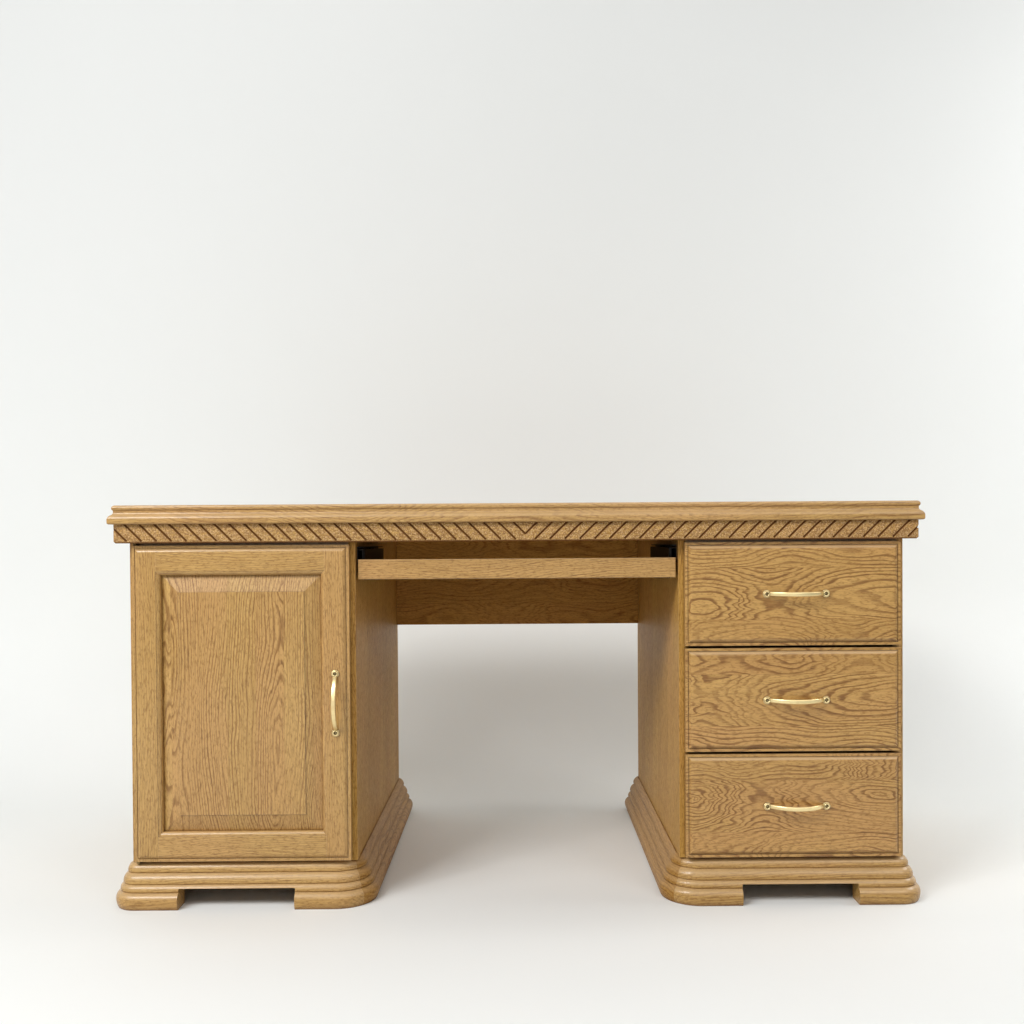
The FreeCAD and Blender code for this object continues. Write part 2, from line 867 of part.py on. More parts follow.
def drawer_pieces(index):
    """Front, sides, back and bottom of one drawer."""
    left, right = drawer_x()
    floor = drawer_floor(index)
    z0, z1 = floor + box_rise, floor + box_rise + box_height
    middle = floor + front_height / 2
    y_end = y_door_back + box_length
    x_sides = ((left + box_side_gap, 1), (right - box_side_gap, -1))
    x_in = (left + box_side_gap + box_side, right - box_side_gap - box_side)
    z_panel = z0 + box_bottom_rise
    g = box_bottom_groove
    panel = box(x_in[0] - g, x_in[1] + g, y_door_back - g, y_end, z_panel, z_panel + box_bottom)
    h = box_back_housing
    y_rear = y_end - box_back_inset
    back = box(x_in[0] - h, x_in[1] + h, y_rear - box_back, y_rear, z_panel + box_bottom, z1 - box_back_drop)
    sides = []
    for x, inward in x_sides:
        side = box(x, x + inward * box_side, y_door_back - box_front_housing, y_end, z0, z1)
        groove_half = rail_height / 2 + running_clearance
        groove = box(x - inward * overrun, x + inward * rail_groove_depth,
                     y_carcass + rail_setback - running_clearance, y_end + overrun,
                     middle - groove_half, middle + groove_half)
        sides.append(cut_all(side, [groove, panel, back]))
    front = front_blank(x_knee + front_reveal, x_outer - front_reveal, floor, floor + front_height)
    housings = [box(x, x + inward * box_side, y_door_back - box_front_housing, y_door_back + overrun, z0, z1)
                for x, inward in x_sides]
    front = cut_all(front, housings + [panel])
    return front, sides, back, panel


def tray_pieces():
    """Board and moulded lip of the keyboard tray."""
    half = x_knee - tray_gap
    z0 = z_frieze - lip_drop - lip_height
    y_lip_back = y_carcass + lip_thickness
    lip = box(-half, half, y_carcass, y_lip_back, z0, z0 + lip_height)
    edges = [edge for edge in lip.Edges if edge.CenterOfMass.y < y_carcass + lip_rounding]
    lip = lip.makeFillet(lip_rounding, edges)
    half_board = x_knee - slide_thickness - hanger_metal
    tray = box(-half_board, half_board, y_lip_back, y_lip_back + tray_depth, z0, z0 + tray_board)
    return tray, lip


def slide_start():
    """Front end of the slides."""
    return y_carcass + lip_thickness + slide_setback


def channel(x_web, x_tip, metal, y0, length, z0, z1, lip):
    """Open channel: a web standing at x_web, with its two flanges reaching towards x_tip."""
    way = 1 if x_tip > x_web else -1
    body = box(x_web, x_web + way * lip, y0, y0 + length, z0, z1)
    return body.cut(box(x_web + way * metal, x_tip + way * lip, y0 - overrun, y0 + length + overrun,
                        z0 + metal, z1 - metal))


def tray_slides():
    """Tracks on the pedestals, runners on the hangers, and the ball cages between them."""
    z1 = z_frieze - slide_drop
    z0 = z1 - slide_height
    mid = (z0 + z1) / 2
    x_track = x_knee
    x_run = x_knee - slide_thickness
    track_lip = slide_thickness - track_edge_gap
    track = channel(x_track, x_run, slide_metal, slide_start(), slide_length, z0, z1, track_lip)
    low, high = mid - runner_height / 2, mid + runner_height / 2
    runner = channel(x_run, x_track, slide_metal, slide_start(), slide_length, low, high, runner_lip)
    x_cage = x_track - slide_metal - cage_web_gap
    cage_length = slide_length - slide_travel - 2 * cage_end_gap
    cage_start = slide_start() + slide_travel / 2 + cage_end_gap
    gap_middle = (z0 + slide_metal + low) / 2
    half = gap_middle + cage_metal / 2
    rise = mid - half + cage_metal
    cage = channel(x_cage, x_run, cage_metal, cage_start, cage_length, mid - rise, mid + rise, runner_lip)
    x_ball = x_cage - runner_lip + ball_radius + cage_metal
    for row in range(ball_count):
        y = cage_start + cage_length * (row + 0.5) / ball_count
        for z in (mid - rise + cage_metal / 2, mid + rise - cage_metal / 2):
            cage = cage.fuse(Part.makeSphere(ball_radius, Vector(x_ball, y, z)))
    leg_low = z_frieze - lip_drop - lip_height - hanger_metal
    x_leg = x_run - hanger_metal
    y0 = slide_start() + hanger_end_inset
    y1 = slide_start() + slide_length - hanger_end_inset
    hanger = box(x_leg, x_run, y0, y1, leg_low, high)
    hanger = hanger.fuse(box(x_leg - hanger_foot, x_leg, y0, y1, leg_low, leg_low + hanger_metal))
    hanger = hanger.removeSplitter()
    return track, runner, cage, hanger


def save(name, shapes):
    """Write one node, a single solid or a group of separate solids."""
    group = shapes if isinstance(shapes, (list, tuple)) else [shapes]
    solids = [solid for shape in group for solid in shape.Solids]
    for solid in solids:
        if not solid.isValid() or solid.Volume <= 0:
            print("check", name, "volume", solid.Volume)
    shape = solids[0] if len(solids) == 1 else Part.makeCompound(solids)
    shape.exportStep("parts/" + name + ".step")
    print(name, "solids", len(solids), "volume", round(shape.Volume))


def save_frame():
    """Tabletop, frieze, rails, bolts and modesty panel."""
    bolts = top_fixing_bolts()
    save("tabletop", cut_all(tabletop(), bolts))
    save("front_frieze", front_frieze())
    left = left_frieze()
    save("left_frieze", left)
    save("right_frieze", mirrored(left))
    save("frieze_rails", [cut_all(rail, bolts) for rail in frieze_rails()])
    save("top_fixing_bolts", bolts)
    save("modesty_panel", box(-x_knee, x_knee, y_back - modesty_thickness, y_back, z_frieze - modesty_height,
                              z_frieze))


def save_pedestals():
    """Both carcasses with their plinths."""
    bolts = top_fixing_bolts()
    leaves = carcass_leaf_blanks()
    pins = shelf_pins()
    outer = carcass_side(-x_outer, 1)
    inner = carcass_side(-x_knee, -1)
    bottom = carcass_shelf_board(z_carcass)
    top = carcass_shelf_board(z_frieze - board)
    save("cupboard_outer_side", cut_all(outer, leaves + pins))
    save("cupboard_inner_side", cut_all(inner, pins))
    save("cupboard_top", cut_all(top, leaves + bolts))
    save("cupboard_bottom", cut_all(bottom, leaves))
    save("cupboard_back", carcass_back())
    save("cupboard_shelf", cupboard_shelf())
    save("shelf_pins", pins)
    save("drawer_unit_outer_side", mirrored(outer))
    save("drawer_unit_inner_side", mirrored(inner))
    save("drawer_unit_top", cut_all(mirrored(top), bolts))
    save("drawer_unit_bottom", mirrored(bottom))
    save("drawer_unit_back", mirrored(carcass_back()))
    for piece, name in zip(plinth_pieces(), ("front", "outer_side", "inner_side")):
        save("cupboard_plinth_" + name, piece)
        save("drawer_unit_plinth_" + name, mirrored(piece))
    save("plinth_back_rails", plinth_back_rails())


def save_door():
    """Door with its handle, hinges and catch."""
    door_leaves = door_leaf_blanks()
    pin_holes = pin_bar(pin_radius + pin_fit, pin_reach + running_clearance)
    wood_holes = pin_bar(pin_radius + running_clearance, pin_reach + running_clearance)
    handle = moved_handle(-x_front + front_width - door_handle_inset, z_door + door_height / 2, True)
    hinge_stile, handle_stile, bottom_rail, top_rail = door_frame_pieces()
    save("door_hinge_stile", cut_all(hinge_stile, door_leaves + wood_holes))
    save("door_handle_stile", cut_all(handle_stile, handle[1:]))
    save("door_bottom_rail", bottom_rail)
    save("door_top_rail", top_rail)
    save("door_panel", door_panel())
    save("door_handle", handle)
    save("hinge_door_leaves", [cut_all(blank, pin_holes) for blank in door_leaves])
    save("hinge_carcass_leaves", [cut_all(blank, pin_holes) for blank in carcass_leaf_blanks()])
    save("hinge_pins", hinge_pins())
    block, plate = catch_parts()
    save("door_catch", block)
    save("catch_plate", plate)


def save_drawers():
    """Three drawers and their rails."""
    save("drawer_rails", drawer_rails())
    middle = x_knee + pedestal_width / 2 + handle_outward
    for index, name in enumerate(("top_drawer", "middle_drawer", "bottom_drawer")):
        front, sides, back, panel = drawer_pieces(index)
        handle = moved_handle(middle, drawer_floor(index) + front_height / 2, False)
        save(name + "_front", cut_all(front, handle[1:]))
        save(name + "_sides", sides)
        save(name + "_back", back)
        save(name + "_bottom", panel)
        save(name + "_handle", handle)


def save_tray():
    """Keyboard tray, its slides and hangers."""
    tray, lip = tray_pieces()
    track, runner, cage, hanger = tray_slides()
    save("tray_board", tray)
    save("tray_lip", lip)
    for name, piece in (("tray_tracks", track), ("tray_runners", runner), ("tray_cages", cage),
                        ("tray_hangers", hanger)):
        save(name, [piece, mirrored(piece)])


os.makedirs("parts", exist_ok=True)
save_frame()
save_pedestals()
save_door()
save_drawers()
save_tray()
print("desk", 2 * (x_outer + base_bulge), front_reach + back_reach, desk_height)
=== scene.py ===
# %% [markdown]
# A writing desk in golden oak: a cupboard on the left, three drawers on the right, a keyboard tray
# between them, and a moulded top over a chevron frieze. The pieces arrive already cut and joined,
# so this lesson is about finish: oak that looks sawn from a log, brass, black steel, and a soft room.

# %% Load the desk's pieces
import math

import bpy
from mathutils import Matrix, Vector


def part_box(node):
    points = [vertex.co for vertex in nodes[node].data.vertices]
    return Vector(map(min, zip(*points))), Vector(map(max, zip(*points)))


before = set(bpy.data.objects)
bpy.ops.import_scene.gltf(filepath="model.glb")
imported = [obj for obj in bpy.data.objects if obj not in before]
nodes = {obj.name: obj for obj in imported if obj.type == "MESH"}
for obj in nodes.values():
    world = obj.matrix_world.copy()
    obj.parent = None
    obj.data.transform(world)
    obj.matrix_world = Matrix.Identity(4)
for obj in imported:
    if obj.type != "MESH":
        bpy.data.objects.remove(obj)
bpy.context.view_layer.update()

# %% [markdown]
# The camera comes first, because everything is judged through it. The photograph was taken from
# about two metres in front of the desk with the lens a little under the height of the top, which is
# why the top shows as a thin strip. The lens is turned, tipped and rolled by less than a degree.
# The numbers come from a fit to the places of the desk's edges in the photograph.

# %% Set up the camera
IMAGE_WIDTH = 1024  # pixels
FOCAL_PIXELS = 1001.0
SENSOR = 36.0  # millimetres
SIDE_SHIFT, RISE_SHIFT = -10.7, 41.1  # pixels
EYE = Vector((0.0024, -2.3233, 0.7239))  # metres
TURN, TIP, ROLL = -0.0046, 0.0129, -0.0064  # radians


def camera_axes(turn, tip, roll):
    """Right, up and back directions of a camera that looks along +Y, then turned, tipped and rolled."""
    right = Vector((math.cos(turn), math.sin(turn), 0))
    ahead = Vector((-math.cos(tip) * math.sin(turn), math.cos(tip) * math.cos(turn), -math.sin(tip)))
    up = right.cross(ahead)
    rolled_right = right * math.cos(roll) + up * math.sin(roll)
    rolled_up = up * math.cos(roll) - right * math.sin(roll)
    return rolled_right, rolled_up, -ahead


lens = bpy.data.cameras.new("view")
lens.sensor_width = SENSOR
lens.lens = SENSOR * FOCAL_PIXELS / IMAGE_WIDTH
lens.shift_x = SIDE_SHIFT / IMAGE_WIDTH
lens.shift_y = RISE_SHIFT / IMAGE_WIDTH
camera = bpy.data.objects.new("view", lens)
bpy.context.scene.collection.objects.link(camera)
axes = Matrix(camera_axes(TURN, TIP, ROLL)).transposed()
camera.matrix_world = Matrix.Translation(EYE) @ axes.to_4x4()
bpy.context.scene.camera = camera
print("lens", round(lens.lens, 2), "mm, eye", tuple(round(v, 3) for v in EYE))

# %% [markdown]
# The room is one sheet of paper: a floor that curves up into a wall close behind the desk, as in a
# product studio. One swept strip with a quarter round bend does it, so no corner line shows.

# %% Sweep the paper backdrop
WALL_Y = 1.00  # metres, like all lengths below
BEND = 0.58
BEND_STEPS = 24
ROOM_HALF_WIDTH = 7.0
ROOM_FRONT = -4.2
ROOM_HEIGHT = 6.0


def sweep_strip(name, outline, half_width):
    """A strip of quads from an outline in (y, z), reaching to both sides along X."""
    verts = [(side * half_width, y, z) for y, z in outline for side in (-1, 1)]
    faces = [(2 * i, 2 * i + 1, 2 * i + 3, 2 * i + 2) for i in range(len(outline) - 1)]
    mesh = bpy.data.meshes.new(name)
    mesh.from_pydata(verts, [], faces)
    mesh.shade_smooth()
    piece = bpy.data.objects.new(name, mesh)
    bpy.context.scene.collection.objects.link(piece)
    return piece


bend = [math.radians(90 * i / BEND_STEPS) for i in range(BEND_STEPS + 1)]
curve = [(WALL_Y - BEND + BEND * math.sin(a), BEND - BEND * math.cos(a)) for a in bend]
backdrop = sweep_strip("backdrop", [(ROOM_FRONT, 0.0)] + curve + [(WALL_Y, ROOM_HEIGHT)], ROOM_HALF_WIDTH)
print("backdrop points", len(backdrop.data.vertices))

# %% [markdown]
# Materials are node trees. A short helper keeps them readable: it adds a node, sets its plain
# numbers and wires its inputs in one call, so that a formula reads like a line of arithmetic.

# %% Helper for node trees
CREASE_SAMPLES = 5


class Wiring:
    """Adds nodes to one tree. Inputs may be numbers, colours or other nodes' outputs."""

    def __init__(self, tree):
        self.tree = tree

    def feed(self, socket, value):
        if isinstance(value, bpy.types.NodeSocket):
            self.tree.links.new(value, socket)
        else:
            socket.default_value = value

    def fill(self, made, inputs):
        for key, value in inputs.items():
            self.feed(made.inputs[key], value)

    def node(self, kind, inputs=None, **settings):
        made = self.tree.nodes.new(kind)
        for key, value in settings.items():
            setattr(made, key, value)
        self.fill(made, inputs or {})
        return made

    def math(self, operation, a, b=0.0, c=None, clamp=False):
        inputs = {0: a, 1: b} if c is None else {0: a, 1: b, 2: c}
        return self.node("ShaderNodeMath", inputs, operation=operation, use_clamp=clamp).outputs[0]

    def plus(self, a, b, clamp=False):
        return self.math("ADD", a, b, clamp=clamp)

    def minus(self, a, b):
        return self.math("SUBTRACT", a, b)

    def times(self, a, b, clamp=False):
        return self.math("MULTIPLY", a, b, clamp=clamp)

    def times_plus(self, a, b, c):
        return self.math("MULTIPLY_ADD", a, b, c)

    def centred(self, value):
        """A noise or a draw between 0 and 1, moved to lie evenly about zero."""
        return self.minus(value, 0.5)

    def vector(self, x, y, z):
        return self.node("ShaderNodeCombineXYZ", {0: x, 1: y, 2: z}).outputs[0]

    def parts(self, vector):
        return self.node("ShaderNodeSeparateXYZ", {0: vector}).outputs

    def vector_math(self, operation, a, b):
        return self.node("ShaderNodeVectorMath", {0: a, 1: b}, operation=operation).outputs

    def scaled(self, vector, factors):
        return self.vector_math("MULTIPLY", vector, factors)[0]

    def shifted(self, vector, offset):
        return self.vector_math("ADD", vector, offset)[0]

    def own_place(self):
        """The frame's own coordinates, which ride with the piece."""
        return self.node("ShaderNodeTexCoord").outputs["Object"]

    def noise(self, vector, scale=1.0, detail=2.0, roughness=0.5):
        return self.node("ShaderNodeTexNoise", {"Vector": vector, "Scale": scale, "Detail": detail,
                                                "Roughness": roughness}).outputs[0]

    def grain(self, place, along, across, detail, roughness):
        """Noise drawn out along the grain: spots to a metre along it and across it."""
        return self.noise(self.scaled(place, (along, across, across)), 1.0, detail, roughness)

    def wave(self, value, scale, detail):
        """Noise along one number, for things that change only along a line."""
        return self.node("ShaderNodeTexNoise", {"W": value, "Scale": scale, "Detail": detail},
                         noise_dimensions="1D").outputs[0]

    def draw(self, key):
        """A random value and a random colour that belong to one number."""
        return self.node("ShaderNodeTexWhiteNoise", {"W": key}, noise_dimensions="1D").outputs

    def mix(self, share, a, b, blend="MIX"):
        made = self.tree.nodes.new("ShaderNodeMix")
        made.data_type = "RGBA"
        made.blend_type = blend
        for index, value in ((0, share), (6, a), (7, b)):
            if isinstance(value, tuple) and len(value) == 3:
                value = (*value, 1.0)
            self.feed(made.inputs[index], value)
        return made.outputs[2]

    def between(self, value, low, high, to_low=0.0, to_high=1.0):
        """A soft step from to_low to to_high while the value goes from low to high."""
        made = self.node("ShaderNodeMapRange", {0: value, 1: low, 2: high, 3: to_low, 4: to_high},
                         interpolation_type="SMOOTHSTEP")
        return made.outputs[0]

    def openness(self, reach):
        """1 in the open, falling towards 0 where a point is shut in within its reach."""
        return self.node("ShaderNodeAmbientOcclusion", {"Distance": reach},
                         samples=CREASE_SAMPLES).outputs["AO"]

    def bump(self, height, strength, distance, normal=None):
        inputs = {"Height": height, "Strength": strength, "Distance": distance}
        if normal is not None:
            inputs["Normal"] = normal
        return self.node("ShaderNodeBump", inputs).outputs[0]


def fresh_material(name):
    """An empty material, its wiring, and its surface shader already joined to the output."""
    made = bpy.data.materials.new(name)
    made.use_nodes = True
    made.node_tree.nodes.clear()
    wiring = Wiring(made.node_tree)
    shader = wiring.node("ShaderNodeBsdfPrincipled")
    wiring.node("ShaderNodeOutputMaterial", {"Surface": shader.outputs[0]})
    return made, wiring, shader


print("helper ready")

# %% [markdown]
# Oak is drawn as it grows. A log is a set of nested tubes, one a year, and a board is a flat cut
# through them. So the figure comes from one number, the distance from a point of the board to the
# log's heart. The heart rises and sinks along the board: where it passes close under the cut, the
# tubes surface as the nested points of a cathedral figure, and off to the side they run as plain
# lines. Fine teeth come from shifting the place along the grain a little before the sum is made.

# %% Oak figure as one node group
PALE_OAK = (0.555, 0.338, 0.108)
MID_OAK = (0.425, 0.240, 0.064)
DEEP_OAK = (0.200, 0.082, 0.012)
PINK_OAK = (0.520, 0.285, 0.098)
PORE = (0.120, 0.050, 0.012)
OAK_FACTS = ("Seed", "Stave", "Scatter", "Depth", "Aside", "Ring", "Wander", "Contrast")

# Noises drawn out along the grain: spots a metre along it and across it, detail, roughness
TEETH = (14.0, 82.0, 0.5, 0.5)
NICKS = (60.0, 240.0, 0.0, 0.5)
RIPPLE = (9.0, 40.0, 1.0, 0.5)
BREAKS = (40.0, 260.0, 2.0, 0.65)
BOLDNESS = (4.0, 17.0, 1.0, 0.5)
DASHES = (45.0, 700.0, 1.5, 0.6)
STREAKS = (22.0, 300.0, 3.0, 0.62)
FLECKS = (110.0, 330.0, 2.0, 0.6)
CLOUDS = (3.0, 12.0, 2.0, 0.5)
BLUSHES = (2.2, 7.0, 1.0, 0.5)

# Noises along one number: spots a metre, detail
HEAVE = (2.5, 1.0)
SWAY = (1.8, 0.0)
UNEVEN = (45.0, 0.0)

# Where the cut lies in its log, in metres
SEED_STEP = 17.31  # keeps the draws of two seeds apart
CUT_ALONG, CUT_ASIDE = 9.0, 5.0
TEETH_REACH, NICKS_REACH, RIPPLE_REACH = 0.044, 0.006, 0.010
HEAVE_REACH, SWAY_REACH = 0.27, 0.06
SWAY_START = 40.0
WIDEST_SCATTER = 0.12

# How a year's line looks: soft steps as (low, high, share at low, share at high)
YEAR_STARTS = (0.0, 0.13)
YEAR_FADES = (0.20, 0.56, 1.0, 0.0)
UNEVEN_YEARS = 1.3
YEAR_SPREAD, WEAKEST_YEAR = 0.45, 0.60
BREAKS_SHOW = (0.30, 0.56, 0.50, 1.0)
BOLDNESS_SHOWS = (0.36, 0.58, 0.45, 1.0)
DASHES_SHOW = (0.50, 0.68)
PORES_IN_LINE, PORES_ELSEWHERE = 0.65, 0.35

# How strongly each layer colours the wood
TONE_SPREAD, TONE_MIDDLE = 0.42, 0.50
STREAK_SHARE = 2.3
BLUSH_SHOWS = (0.44, 0.66, 0.0, 0.50)
FLECK_SHOWS, FLECK_SHARE = (0.48, 0.68), 0.50
LINE_SHARE = 0.92
PORE_SHARE = 0.68
SEAM_SHOWS, SEAM_SHARE = (0.0, 0.0008, 1.0, 0.0), 0.30

# Relief and roughness
LINE_HEIGHT = 0.35
OAK_ROUGHNESS, FLECK_ROUGHNESS, PORE_ROUGHNESS = 0.34, 0.16, 0.22


def oak_figure_group():
    """Place on the board and the log's facts in; colour, height and roughness out."""
    group = bpy.data.node_groups.new("oak_figure", "ShaderNodeTree")
    group.interface.new_socket("Place", in_out="INPUT", socket_type="NodeSocketVector")
    for name in OAK_FACTS:
        group.interface.new_socket(name, in_out="INPUT", socket_type="NodeSocketFloat")
    group.interface.new_socket("Color", in_out="OUTPUT", socket_type="NodeSocketColor")
    for name in ("Height", "Roughness"):
        group.interface.new_socket(name, in_out="OUTPUT", socket_type="NodeSocketFloat")
    w = Wiring(group)
    given = w.node("NodeGroupInput").outputs
    along, across, deep = w.parts(given["Place"])

    # Boards glued side by side: each stave is its own cut of its own log
    stave_number = w.math("FLOOR", w.math("DIVIDE", across, given["Stave"]))
    stave_middle = w.times(w.plus(stave_number, 0.5), given["Stave"])
    local = w.minus(across, stave_middle)
    key = w.plus(w.times(given["Seed"], SEED_STEP), stave_number)
    chance = w.node("ShaderNodeSeparateColor", {0: w.draw(key)["Color"]}).outputs

    # Teeth shift the place along the grain; the heart then rises and sinks with that place
    far = w.times_plus(chance[0], CUT_ALONG, along)
    spot = w.vector(far, w.times_plus(chance[1], CUT_ASIDE, local), deep)
    jog = w.plus(w.times(w.centred(w.grain(spot, *TEETH)), TEETH_REACH),
                 w.times(w.centred(w.grain(spot, *NICKS)), NICKS_REACH))
    heave = w.centred(w.wave(w.plus(far, jog), *HEAVE))
    sway = w.centred(w.wave(w.plus(far, SWAY_START), *SWAY))
    spread = w.times(w.centred(chance[1]), w.math("MINIMUM", given["Stave"], WIDEST_SCATTER))
    heart_y = w.times_plus(spread, given["Scatter"], w.times(sway, SWAY_REACH))
    heart_z = w.times_plus(heave, w.times(given["Wander"], HEAVE_REACH), given["Depth"])
    y = w.plus(w.minus(local, heart_y), given["Aside"])
    z = w.plus(deep, heart_z)
    radius = w.math("SQRT", w.plus(w.times(y, y), w.times(z, z)))
    radius = w.plus(radius, w.times(w.centred(w.grain(spot, *RIPPLE)), RIPPLE_REACH))

    # One year: a dark porous start that fades into pale dense wood; good and bad years differ
    uneven = w.times(w.wave(radius, *UNEVEN), UNEVEN_YEARS)
    years = w.plus(w.math("DIVIDE", radius, given["Ring"]), uneven)
    part = w.math("FRACT", years)
    year_line = w.times(w.between(part, *YEAR_STARTS), w.between(part, *YEAR_FADES))
    year_draw = w.draw(w.math("FLOOR", years))[0]
    line = w.times(year_line, w.times_plus(year_draw, YEAR_SPREAD, WEAKEST_YEAR))
    line = w.times(line, w.between(w.grain(spot, *BREAKS), *BREAKS_SHOW))
    line = w.times(line, w.between(w.grain(spot, *BOLDNESS), *BOLDNESS_SHOWS))

    # Pores: short dashes along the grain, thick in the dark part of each year
    dash = w.between(w.grain(spot, *DASHES), *DASHES_SHOW)
    pores = w.times(dash, w.times_plus(line, PORES_IN_LINE, PORES_ELSEWHERE))

    # Streaks, fleck, cloudy colour and the stave's own tone
    streak = w.grain(spot, *STREAKS)
    fleck = w.grain(spot, *FLECKS)
    cloud = w.grain(spot, *CLOUDS)
    blush = w.grain(spot, *BLUSHES)
    tone = w.times_plus(w.centred(chance[2]), TONE_SPREAD, TONE_MIDDLE)
    share = w.plus(w.times(w.centred(streak), STREAK_SHARE), w.centred(cloud))
    base = w.mix(w.plus(share, tone, clamp=True), MID_OAK, PALE_OAK)
    base = w.mix(w.between(blush, *BLUSH_SHOWS), base, PINK_OAK)
    base = w.mix(w.times(w.between(fleck, *FLECK_SHOWS), FLECK_SHARE), base, DEEP_OAK)
    stain = w.times(line, given["Contrast"], clamp=True)
    base = w.mix(w.times(stain, LINE_SHARE), base, DEEP_OAK)
    base = w.mix(w.times(pores, PORE_SHARE), base, PORE)

    # The seam between two staves is a hair-fine dark line
    to_seam = w.minus(w.times(given["Stave"], 0.5), w.math("ABSOLUTE", local))
    seam = w.between(to_seam, *SEAM_SHOWS)
    base = w.mix(w.times(seam, SEAM_SHARE), base, DEEP_OAK)

    height = w.times(w.plus(pores, w.times(line, LINE_HEIGHT)), -1.0)
    rough = w.times_plus(pores, PORE_ROUGHNESS, w.times_plus(fleck, FLECK_ROUGHNESS, OAK_ROUGHNESS))
    w.node("NodeGroupOutput", {"Color": base, "Height": height, "Roughness": rough})
    return group


oak_figure = oak_figure_group()
print("oak group nodes", len(oak_figure.nodes))

# %% [markdown]
# Sharp edges are painted pale, partly for wear and partly as a painted highlight, and creases get
# painted shade. The bevel node gives a normal that turns round each edge, so where it leaves the flat
# normal there is an edge. The occlusion node tells how shut in a point is, over a few millimetres.
# On mouldings, what leans upward gets a painted highlight, and what leans down gets painted shade.

# %% Worn and highlighted edges, painted shade in creases and on mouldings
# Colour of the painted shade on what leans down
PAINTED_SHADE_OAK = (0.200, 0.098, 0.024)
EDGE_RADIUS = 0.0011
EDGE_SAMPLES = 4
# Share of pale on edges, part wear and part painted highlight
EDGE_WEAR_AND_HIGHLIGHT = 0.55
CREASE_REACH = 0.0045

# Soft steps over the turn of the normal at an edge, over openness, and over the normal's rise
EDGE_SHOWS = (0.88, 0.995, 1.0, 0.0)
EDGE_IS_OPEN = (0.6, 0.9)
CREASE_SHOWS = (0.20, 0.74, 0.85, 0.0)
LEANS_UP = (0.12, 0.60)
ISNT_LEVEL = (0.90, 0.98, 1.0, 0.0)
LEANS_DOWN = (-0.60, -0.12, 1.0, 0.0)
SHADE_OF_RELIEF = 0.8


def aged(w, colour, pale, crease_shade_colour, reach=CREASE_REACH, wear_and_highlight=EDGE_WEAR_AND_HIGHLIGHT, painted_shading=0.0):
    """Colour with edges paled for wear and highlight, painted shade in creases, painted light and shade on
    mouldings, and the softened normal of the edges.
    """
    soft = w.node("ShaderNodeBevel", {"Radius": EDGE_RADIUS}, samples=EDGE_SAMPLES).outputs[0]
    plain = w.node("ShaderNodeNewGeometry").outputs["Normal"]
    edge = w.between(w.vector_math("DOT_PRODUCT", soft, plain)["Value"], *EDGE_SHOWS)
    open_air = w.openness(reach)
    if painted_shading:
        # Painted highlight on what leans up, painted shade on what leans down
        rise = w.parts(plain)[2]
        painted_highlight = w.times(w.between(rise, *LEANS_UP), w.between(rise, *ISNT_LEVEL))
        colour = w.mix(w.times(painted_highlight, painted_shading), colour, pale)
        painted_shade = w.times(w.between(rise, *LEANS_DOWN), painted_shading * SHADE_OF_RELIEF)
        colour = w.mix(painted_shade, colour, PAINTED_SHADE_OAK)
    # Edges paled: part wear, part painted highlight
    worn_and_highlit = w.times(w.times(edge, w.between(open_air, *EDGE_IS_OPEN)), wear_and_highlight)
    colour = w.mix(worn_and_highlit, colour, pale)
    # Painted shade in creases
    return w.mix(w.between(open_air, *CREASE_SHOWS), colour, crease_shade_colour), soft


print("ageing ready")

# %% [markdown]
# A board needs three facts before it can be painted: which way its grain runs, which way its broad
# face looks, and which log it came from. The frame's own coordinates ride with each piece, so the
# grain stays in the wood when a drawer slides out.

# %% Place on a board
GRAINS = {"x_front": (0, 2, 1), "z_front": (2, 0, 1), "z_side": (2, 1, 0),
          "x_flat": (0, 1, 2), "y_side": (1, 2, 0)}
# Pale for edges, part wear and part painted highlight; dark for creases, a painted shade
WORN_AND_HIGHLIGHT = (0.64, 0.43, 0.22)
CREASE_SHADE_OAK = (0.130, 0.048, 0.010)
ONE_PLANK = 3.0  # a stave wider than any board


def board_place(w, name, grain):
    """The board's own coordinates from its middle: along the grain, across the face, into the thickness."""
    low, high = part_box(name)
    parts = w.parts(w.shifted(w.own_place(), tuple((low + high) / -2)))
    return w.vector(*(parts[i] for i in GRAINS[grain]))


def dress(name, material):
    """Gives a piece one material over all its faces."""
    mesh = nodes[name].data
    mesh.materials.clear()
    mesh.materials.append(material)


def figure_node(w, name, grain, seed, stave=ONE_PLANK, scatter=0.55, depth=0.05, aside=0.0,
                ring=0.0066, wander=1.0, contrast=1.0):
    """Oak figure placed on a board. A stave wider than the board makes it one plank."""
    figure = w.node("ShaderNodeGroup", node_tree=oak_figure)
    w.feed(figure.inputs["Place"], w.shifted(board_place(w, name, grain), (0, stave / 2, 0)))
    w.fill(figure, dict(zip(OAK_FACTS, (seed, stave, scatter, depth, aside, ring, wander, contrast))))
    return figure.outputs


print("grain orders", len(GRAINS))

# %% [markdown]
# The varnish is satin: the wood's own roughness carries the sheen, with a thin clear coat over it.
# Every board gets its own cut of the log, from its seed. Drawer fronts are cut near the heart, so they
# are lively. Stiles, rails and sides are cut to one side of it and stay calm. Three more facts fit a
# board to the photograph. Tint multiplies its colour, and on the knee sides, knee back and inner plinths
# it is painted shade. Painted shading paints a highlight on what leans up and shade on what leans
# down. Lean tilts the shading of bevels further than their slope, so that shallow ones read.

# %% Oak boards
BOARD_FRONT = (0, -1, 0)
COAT_ROUGHNESS = 0.17
OAK_BUMP = (0.35, 0.0005)  # strength, and distance in metres


def steeper(w, normal, front, times):
    """Leans shallow bevels further from the board's front, so that their light and shade read."""
    flat = w.node("ShaderNodeVectorTransform", {0: front}, vector_type="NORMAL", convert_from="OBJECT",
                  convert_to="WORLD").outputs[0]
    lean = w.vector_math("SUBTRACT", normal, flat)[0]
    leant = w.shifted(w.scaled(lean, (times, times, times)), flat)
    return w.node("ShaderNodeVectorMath", {0: leant}, operation="NORMALIZE").outputs[0]


